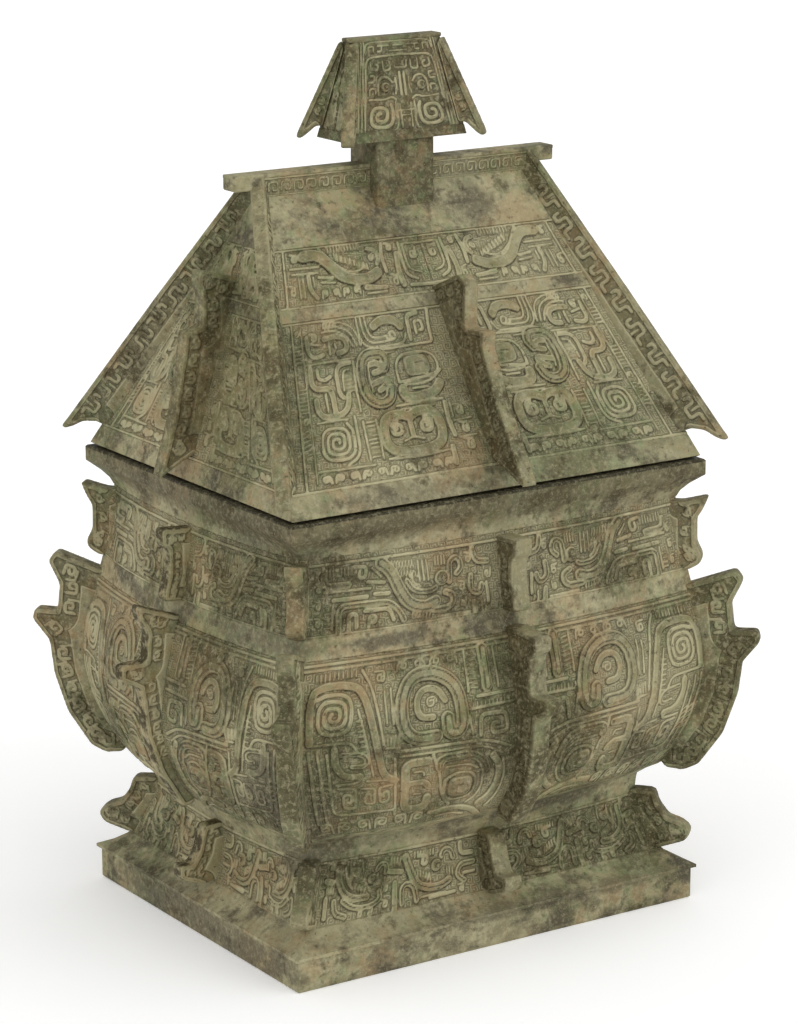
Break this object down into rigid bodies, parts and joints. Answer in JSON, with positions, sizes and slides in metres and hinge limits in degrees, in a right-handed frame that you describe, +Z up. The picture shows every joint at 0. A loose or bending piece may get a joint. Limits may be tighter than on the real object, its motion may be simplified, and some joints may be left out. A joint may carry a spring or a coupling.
{
  "type": "bronze fangyi vessel",
  "caption": "Covered square wine vessel with a bowed, flanged body on a flared foot and a hollow roof-shaped lid that lifts off by its roof-shaped knob.",
  "frame": {"origin": "centre of the underside of the foot, at the height of the surface it stands on", "axes": "+Z up, X along the vessel's long sides, Y along its short sides"},
  "size_m": [0.2536, 0.2248, 0.35],
  "materials": {
    "vessel_bronze": "cast bronze with an aged olive-grey patina, pale dust on the raised lines, green and reddish-brown spots",
    "lid_bronze": "cast bronze with an aged olive-grey patina, a little paler than the body, with dark smudges on the plain bands"
  },
  "bodies": {
    "root": {"vessel": "vessel_bronze", "lid": "lid_bronze"}
  },
  "joints": []
}
